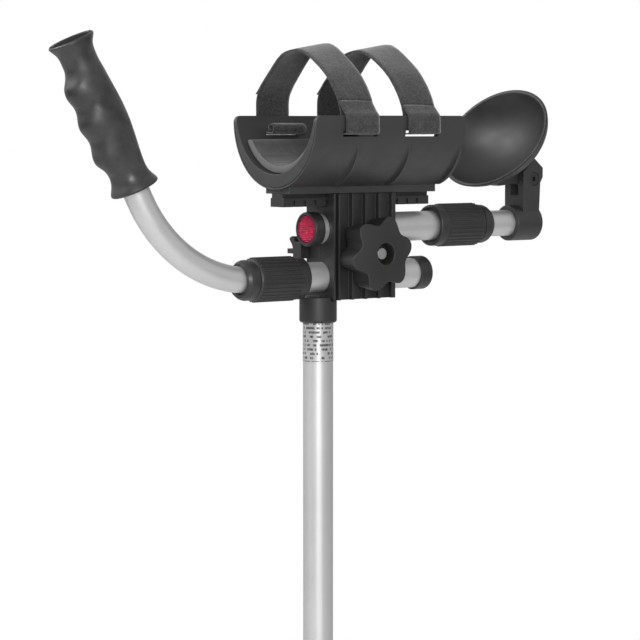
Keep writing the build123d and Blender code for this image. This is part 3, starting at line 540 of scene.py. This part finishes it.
def make_grip():
    turns = 6
    # The middle of the lower end is sunk a little around the tube.
    rings = [grip_ring(1.2, 7.8), grip_ring(0, 7.2)]
    for step in range(turns):
        lean = pi / 2 * step / turns
        rings.append(grip_ring(GRIP_EDGE * (1 - cos(lean)), GRIP_EDGE * (1 - sin(lean))))
    along = GRIP_EDGE
    while along < GRIP_LENGTH - GRIP_EDGE:
        rings.append(grip_ring(along))
        along += GRIP_STEP
    for step in range(turns + 1):
        lean = pi / 2 * step / turns
        height = GRIP_LENGTH - GRIP_EDGE * (1 - sin(lean))
        rings.append(grip_ring(height, GRIP_EDGE * (1 - cos(lean))))
    for inset, sink in GRIP_TOP_STEPS:
        rings.append(grip_ring(GRIP_LENGTH - sink, inset))
    grip = new_piece("grip_cover", *skin(rings), "handle", ["hand_grip"], "grip_rubber")
    grip.data.materials.append(GRIP_TOP)
    flat_enough = 0.97
    for polygon in grip.data.polygons:
        if polygon.normal.dot(GRIP_UP) > flat_enough and polygon.center.z > RIM_Z:
            polygon.material_index = 1


make_grip()


# Straps. Each is a band swept between a path for its front edge and one for its rear edge,
# because the real ones sit slightly twisted. Paths are in millimetres: (y, height above the rim).

STRAP_WIDTH = 30.0
STRAP_LAYER = 1.0
STRAP_STEP = 1.6
SLOT_OFFSET = 28.3
STRAP_SHIFT = -0.5
ROD_Y = 38.5
ROD_HEIGHT = -9.5
ROLL_RADIUS = 3.3

ROLL = [
    (ROD_Y + ROLL_RADIUS * cos(radians(a)), ROD_HEIGHT + ROLL_RADIUS * sin(radians(a)))
    for a in (-30, 15, 60, 105, 150, 195, 240)
]
ROOT = ROLL + [(41.0, -12.9), (47.5, -12.8), (52.6, -12.4), (56.2, -9.4), (57.2, -3.5)]
FRONT_EDGE = ROOT + [
    (57.4, 6.0),
    (56.8, 14.0),
    (50.5, 22.5),
    (41.5, 30.8),
    (32.0, 39.5),
    (23.5, 45.0),
    (13.0, 47.0),
    (4.0, 46.8),
    (-5.0, 43.8),
    (-16.0, 37.6),
    (-27.0, 29.6),
    (-36.0, 19.6),
    (-41.6, 11.0),
    (-45.0, 2.0),
    (-45.3, -3.5),
    (-43.0, -9.6),
]
REAR_EDGE = ROOT + [
    (57.4, 6.0),
    (56.8, 14.0),
    (51.0, 22.5),
    (42.5, 31.5),
    (33.5, 40.5),
    (25.5, 47.2),
    (17.0, 51.2),
    (8.6, 52.2),
    (0.0, 49.6),
    (-10.5, 43.4),
    (-19.5, 37.2),
    (-27.0, 31.2),
    (-35.5, 21.8),
    (-41.8, 11.6),
    (-45.2, 0.6),
    (-43.0, -9.6),
]
TAB = [
    (-41.0, -13.0),
    (-46.0, -13.0),
    (-50.2, -12.9),
    (-51.4, -12.2),
    (-51.6, -10.0),
    (-51.5, -5.0),
    (-51.2, -1.5),
    (-50.2, 1.0),
    (-47.6, 3.4),
]


def band_ring(front, rear, normal, thickness, lift, seed):
    """One cross-section of a band lifted off its path, with soft, slightly frayed edges."""
    columns = 14
    squareness = 14
    thinnest = 0.12
    lumps_per_metre = 260
    lump_height = 0.16
    ring = []
    for side in (1, -1):
        for step in range(columns + 1):
            across = side * (1 - 2 * step / columns)
            body = max(1 - abs(across) ** squareness, thinnest) ** 0.5
            place = front.lerp(rear, (across + 1) / 2)
            spot = place * lumps_per_metre + Vector((seed, 0, 0))
            wobble = noise.noise(spot) * lump_height * MM
            ring.append(place + normal * (side * body * thickness / 2 - lift + wobble))
    return ring


def relaxed(points):
    """Evens out the bends of a strap where it is free of the trough."""
    points = list(points)
    free_height = RIM_Z + 4 * MM
    for _ in range(6):
        moved = list(points)
        for index in range(1, len(points) - 1):
            if points[index].z > free_height:
                moved[index] = (points[index - 1] + 2 * points[index] + points[index + 1]) / 4
        points = moved
    return points


def band_edge(path, x):
    return relaxed(smooth_path([above_rim(y, z, x) for y, z in path], STRAP_STEP * MM))


def band_shell(middle, front_path, rear_path, thickness, lift, seed, ends=None):
    """Skin of a band that is lifted off its paths, to their outer side where lift is positive.

    With ends, the heights above the rim where its far and near side stop, the band is a layer
    that lies on another, and its far end peels off a little. Without, it runs the whole path.
    """
    fronts = band_edge(front_path, middle - STRAP_WIDTH / 2)
    rears = band_edge(rear_path, middle + STRAP_WIDTH / 2)
    peel_height = 1.3 * MM
    peel_rings = 5
    count = len(fronts)
    rings = []
    for index in range(count):
        place = fronts[index]
        rear = rears[round(index * (len(rears) - 1) / (count - 1))]
        if ends:
            stop = ends[0] if place.y > 0 else ends[1]
            if place.z < RIM_Z + stop * MM:
                continue
        before = fronts[max(index - 1, 0)]
        after = fronts[min(index + 1, count - 1)]
        across = (rear - place).normalized()
        normal = across.cross(after - before).normalized()
        if ends:
            peel = peel_height * max(0, 1 - len(rings) / peel_rings) ** 2 if place.y > 0 else 0.0
            rings.append(band_ring(place, rear, normal, thickness, lift + peel, seed))
            continue
        # Below the rim the two layers lie together in the slots and count as one thick one.
        doubled = 1 - step_up((place.z - RIM_Z) / MM, -7, 0) if lift else 0.0
        thick = thickness * (1 + 0.9 * doubled)
        rings.append(band_ring(place, rear, normal, thick, lift * (1 - doubled), seed))
    return skin(rings)


def strap_piece(name, shells, replaced):
    new_piece(name, *joined(shells), "trough", [replaced], "strap_fabric")


def make_straps():
    """Each strap is a band whose end comes back out of the near slot and lies on it over the arch."""
    low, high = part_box("forearm_trough")
    middle = (low.x + high.x) / 2 / MM
    layer = STRAP_LAYER * MM
    far_end = 14.0
    seam = 0.3
    for word, side, end, seed in (("front", -1, 10.5, 3.0), ("rear", 1, 7.5, 8.0)):
        x = middle + side * SLOT_OFFSET + STRAP_SHIFT
        under = band_shell(x, FRONT_EDGE, REAR_EDGE, layer, -layer / 2, seed)
        over = band_shell(
            x, FRONT_EDGE, REAR_EDGE, layer, layer / 2, seed + 5, (far_end, end + seam)
        )
        strap_piece(f"{word}_strap_band", [under, over], f"{word}_strap")
        # The tab's upper end leans in along the strap, by 0.45 mm for each mm of its height.
        last = (-42.3 + 0.45 * (end - 10.5), end)
        tab = band_shell(x, TAB + [last], TAB + [last], layer, 0, seed + 20)
        strap_piece(f"{word}_strap_end", [tab], f"{word}_strap_tab")


make_straps()


# Foam liner: a shallow gutter whose two top edges are cut level and whose ends are rounded.

PAD_THICKNESS = 5.8 * MM
PAD_RADIUS = 46.9 * MM
PAD_EDGE = 0.7 * MM
PAD_LIP = 0.4 * MM


def pad_section(x, inset=0.0):
    """Closed outline of the liner across the trough, from one top edge to the other."""
    centre = RIM_Z + 5.3 * MM
    drop = 22.5 * MM
    steps = 44
    lip_start = 0.975
    thickness = PAD_THICKNESS - 2 * inset
    radius = PAD_RADIUS - inset
    ring = []
    for side, reach in ((1, radius), (-1, radius - thickness)):
        limit = acos(drop / reach)
        for step in range(steps + 1):
            angle = side * limit * (1 - 2 * step / steps)
            near_end = max(0, abs(angle) / limit - lip_start) / (1 - lip_start)
            r = reach - side * PAD_LIP * near_end**2
            ring.append(Vector((x, r * sin(angle), centre - r * cos(angle))))
    return ring


def bake_modifiers(piece):
    """Turns a piece's mesh into what its modifiers show, and takes them off."""
    graph = bpy.context.evaluated_depsgraph_get()
    mesh = bpy.data.meshes.new_from_object(piece.evaluated_get(graph))
    piece.modifiers.clear()
    piece.data = mesh


def swell(piece, reach):
    """Lets a foam piece puff up as cloth under pressure. No point moves further than reach."""
    scene = bpy.context.scene
    remesh = piece.modifiers.new("remesh", "REMESH")
    remesh.mode = "VOXEL"
    remesh.voxel_size = 1.2 * MM
    remesh.use_smooth_shade = True
    bake_modifiers(piece)
    rest = [vertex.co.copy() for vertex in piece.data.vertices]
    cloth = piece.modifiers.new("cloth", "CLOTH")
    cloth.settings.use_pressure = True
    cloth.settings.uniform_pressure_force = 4
    cloth.settings.effector_weights.gravity = 0
    frames = 12
    cloth.point_cache.frame_end = frames
    for number in range(1, frames + 1):
        scene.frame_set(number)
    bake_modifiers(piece)
    for vertex, start in zip(piece.data.vertices, rest):
        move = vertex.co - start
        if move.length > reach:
            vertex.co = start + move * (reach / move.length)
    scene.frame_set(1)


def make_pad():
    low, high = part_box("forearm_pad")
    turns = 4
    steps = 60

    def rounded_end(end, inwards, order):
        outlines = []
        for step in order:
            lean = pi / 2 * step / turns
            x = end + inwards * PAD_EDGE * (1 - cos(lean))
            outlines.append(pad_section(x, PAD_EDGE * (1 - sin(lean))))
        return outlines

    rings = rounded_end(low.x, 1, range(turns + 1))
    start, end = low.x + PAD_EDGE, high.x - PAD_EDGE
    for step in range(1, steps):
        rings.append(pad_section(start + (end - start) * step / steps))
    rings += rounded_end(high.x, -1, range(turns, -1, -1))
    pad = new_piece("foam_liner", *skin(rings), "trough", ["forearm_pad"], "pad_foam")
    swell(pad, 0.7 * MM)


make_pad()


# Elbow cup: the smooth dish with its rolled rim, inside the hard shell. It is an ellipsoid cut off
# at the rim. CUP_RIM_CENTRE is in metres and the other lengths in millimetres. Heights are from the
# rim's plane, and how far in a surface lies is from the shell's outside.

CUP_RIM_CENTRE = Vector((0.1694, 0, RIM_Z - 0.0168))
CUP_TILT = Matrix.Rotation(radians(-59), 3, "Y")
CUP_DEPTH = 23.0
CUP_CENTRE_RISE = 12.0
CUP_HALF_HEIGHT = 43.0
CUP_HALF_WIDTH = 55.3
DISH_INSIDE = 2.8
DISH_OUTSIDE = 1.6
DISH_LIP_RADIUS = 1.2
DISH_LIP_RISE = 0.7


def dish_ring(height, inwards, outwards=0.0):
    """The dish's outline at a height, on the surface that lies inwards of the shell's outside."""
    around = 144
    spread = 1 / sqrt(1 - (CUP_CENTRE_RISE / (CUP_DEPTH + CUP_CENTRE_RISE)) ** 2)
    reach = CUP_DEPTH + CUP_CENTRE_RISE - inwards
    share = sqrt(max(1 - ((CUP_CENTRE_RISE - height) / reach) ** 2, 0.0))
    points = []
    for step in range(around):
        angle = 2 * pi * step / around
        x = ((CUP_HALF_HEIGHT * spread - inwards) * share + outwards) * cos(angle)
        y = ((CUP_HALF_WIDTH * spread - inwards) * share + outwards) * sin(angle)
        points.append(CUP_RIM_CENTRE + CUP_TILT @ (Vector((x, y, height)) * MM))
    return points


def make_dish():
    rows = 34
    lip_turns = 8
    rings = []
    for row in range(1, rows):
        lean = pi / 2 * row / rows
        rings.append(dish_ring((DISH_INSIDE - CUP_DEPTH) * cos(lean), DISH_INSIDE))
    for step in range(lip_turns + 1):
        lean = pi * step / lip_turns
        outwards = DISH_LIP_RADIUS - DISH_LIP_RADIUS * cos(lean)
        rings.append(dish_ring(DISH_LIP_RISE * sin(lean), DISH_INSIDE, outwards))
    for row in range(rows - 1, 0, -2):
        lean = pi / 2 * row / rows
        rings.append(dish_ring((DISH_OUTSIDE - CUP_DEPTH) * cos(lean), DISH_OUTSIDE))
    new_piece("cup_dish", *skin(rings), "elbow_cup", ["elbow_cup_liner"], "cup_liner")


make_dish()


# Reflector lens: a field of small low pyramids inside a plain rim.

PRISM_PITCH = 1.5 * MM
PRISM_PEAK = 0.45 * MM
PRISM_SHARE = 0.98
FIELD_MARGIN = 0.55 * PRISM_PITCH


def prism_field(centre, face_x, radius):
    """Six-sided pyramids in staggered rows, as many as fit in a circle."""
    points = []
    faces = []
    cell = PRISM_PITCH / sqrt(3) * PRISM_SHARE
    row_pitch = PRISM_PITCH * sqrt(3) / 2
    steps = int(radius / PRISM_PITCH) + 2
    for row in range(-steps, steps + 1):
        for column in range(-steps, steps + 1):
            y = (column + 0.5 * (row % 2)) * PRISM_PITCH
            z = row * row_pitch
            if sqrt(y * y + z * z) > radius - FIELD_MARGIN:
                continue
            first = len(points)
            foot = Vector((face_x, centre.y + y, centre.z + z))
            for corner in range(6):
                angle = pi / 6 + corner * pi / 3
                points.append(foot + Vector((0, cell * cos(angle), cell * sin(angle))))
            points.append(foot - Vector((PRISM_PEAK, 0, 0)))
            for corner in range(6):
                faces.append((first + corner, first + 6, first + (corner + 1) % 6))
            faces.append(tuple(range(first, first + 6)))
    return points, faces


def make_lens():
    low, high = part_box("reflector_lens")
    centre = (low + high) / 2
    radius = (high.y - low.y) / 2 - 0.15 * MM
    face_x = low.x + 0.7 * MM
    around = 72
    # Half of the lens's section, from its back over the rim to the prisms' bed.
    section = (
        (radius, high.x),
        (radius, low.x + 0.5 * MM),
        (radius - 0.5 * MM, low.x),
        (radius - 1.0 * MM, low.x),
        (radius - 1.2 * MM, face_x + 0.05 * MM),
    )
    rings = []
    for reach, x in section:
        angles = [2 * pi * step / around for step in range(around)]
        rings.append([(x, centre.y + reach * cos(a), centre.z + reach * sin(a)) for a in angles])
    shells = [prism_field(centre, face_x, radius), skin(rings)]
    new_piece(
        "reflector_prisms",
        *joined(shells),
        "rear_tube",
        ["reflector_lens"],
        "reflector_red",
        smooth=False,
    )


make_lens()


# Studio: pale floor, white surroundings and three large soft lights.


def make_surroundings():
    """White to the camera. As light it is dimmer, and dimmest from below."""
    world = bpy.data.worlds.new("surroundings")
    bpy.context.scene.world = world
    world.use_nodes = True
    tree = world.node_tree
    background = tree.nodes["Background"]
    background.inputs["Color"].default_value = (1, 1, 1, 1)
    direction = tree.nodes.new("ShaderNodeTexCoord").outputs["Generated"]
    split = tree.nodes.new("ShaderNodeSeparateXYZ")
    dimmer = tree.nodes.new("ShaderNodeMapRange")
    for socket, number in (("From Min", -0.4), ("From Max", 0.3), ("To Min", 0.25), ("To Max", 0.65)):
        dimmer.inputs[socket].default_value = number
    tree.links.new(direction, split.inputs[0])
    tree.links.new(split.outputs["Z"], dimmer.inputs["Value"])
    tree.links.new(dimmer.outputs["Result"], background.inputs["Strength"])
    seen = tree.nodes.new("ShaderNodeBackground")
    seen.inputs["Color"].default_value = (1, 1, 1, 1)
    seen.inputs["Strength"].default_value = 1.0
    path = tree.nodes.new("ShaderNodeLightPath")
    mix = tree.nodes.new("ShaderNodeMixShader")
    tree.links.new(path.outputs["Is Camera Ray"], mix.inputs["Fac"])
    tree.links.new(background.outputs[0], mix.inputs[1])
    tree.links.new(seen.outputs[0], mix.inputs[2])
    tree.links.new(mix.outputs[0], tree.nodes["World Output"].inputs["Surface"])


def make_floor():
    mesh = bpy.data.meshes.new("floor")
    around = 96
    radius = 2.2
    angles = [2 * pi * step / around for step in range(around)]
    rim = [(radius * cos(angle), radius * sin(angle), 0) for angle in angles]
    mesh.from_pydata(rim, [], [tuple(range(around))])
    floor = bpy.data.objects.new("floor", mesh)
    bpy.context.scene.collection.objects.link(floor)
    pale = Surface("floor_paint", (0.80, 0.80, 0.80), 0.8)
    pale.paint(pale.shades(pale.noise(3, 2), 0.99, 1.01))
    mesh.materials.append(pale.material)


def make_lights():
    """Square area lights, all aimed at the top of the crutch. Places and sizes in metres, power in watts."""
    target = Vector((0, 0, 0.93))
    for name, place, size, power in (
        ("key", (-1.9, 0.3, 2.2), 0.9, 22),
        ("front", (-1.3, -2.0, 1.3), 0.9, 32),
        ("back", (-1.15, 1.35, 2.05), 1.0, 16),
    ):
        lamp = bpy.data.lights.new(name, "AREA")
        lamp.size = size
        lamp.energy = power
        holder = bpy.data.objects.new(name, lamp)
        holder.location = place
        aim = target - Vector(place)
        holder.rotation_euler = aim.to_track_quat("-Z", "Y").to_euler()
        bpy.context.scene.collection.objects.link(holder)


bpy.context.scene.view_settings.view_transform = "Standard"
make_surroundings()
make_floor()
make_lights()

bpy.context.view_layer.update()
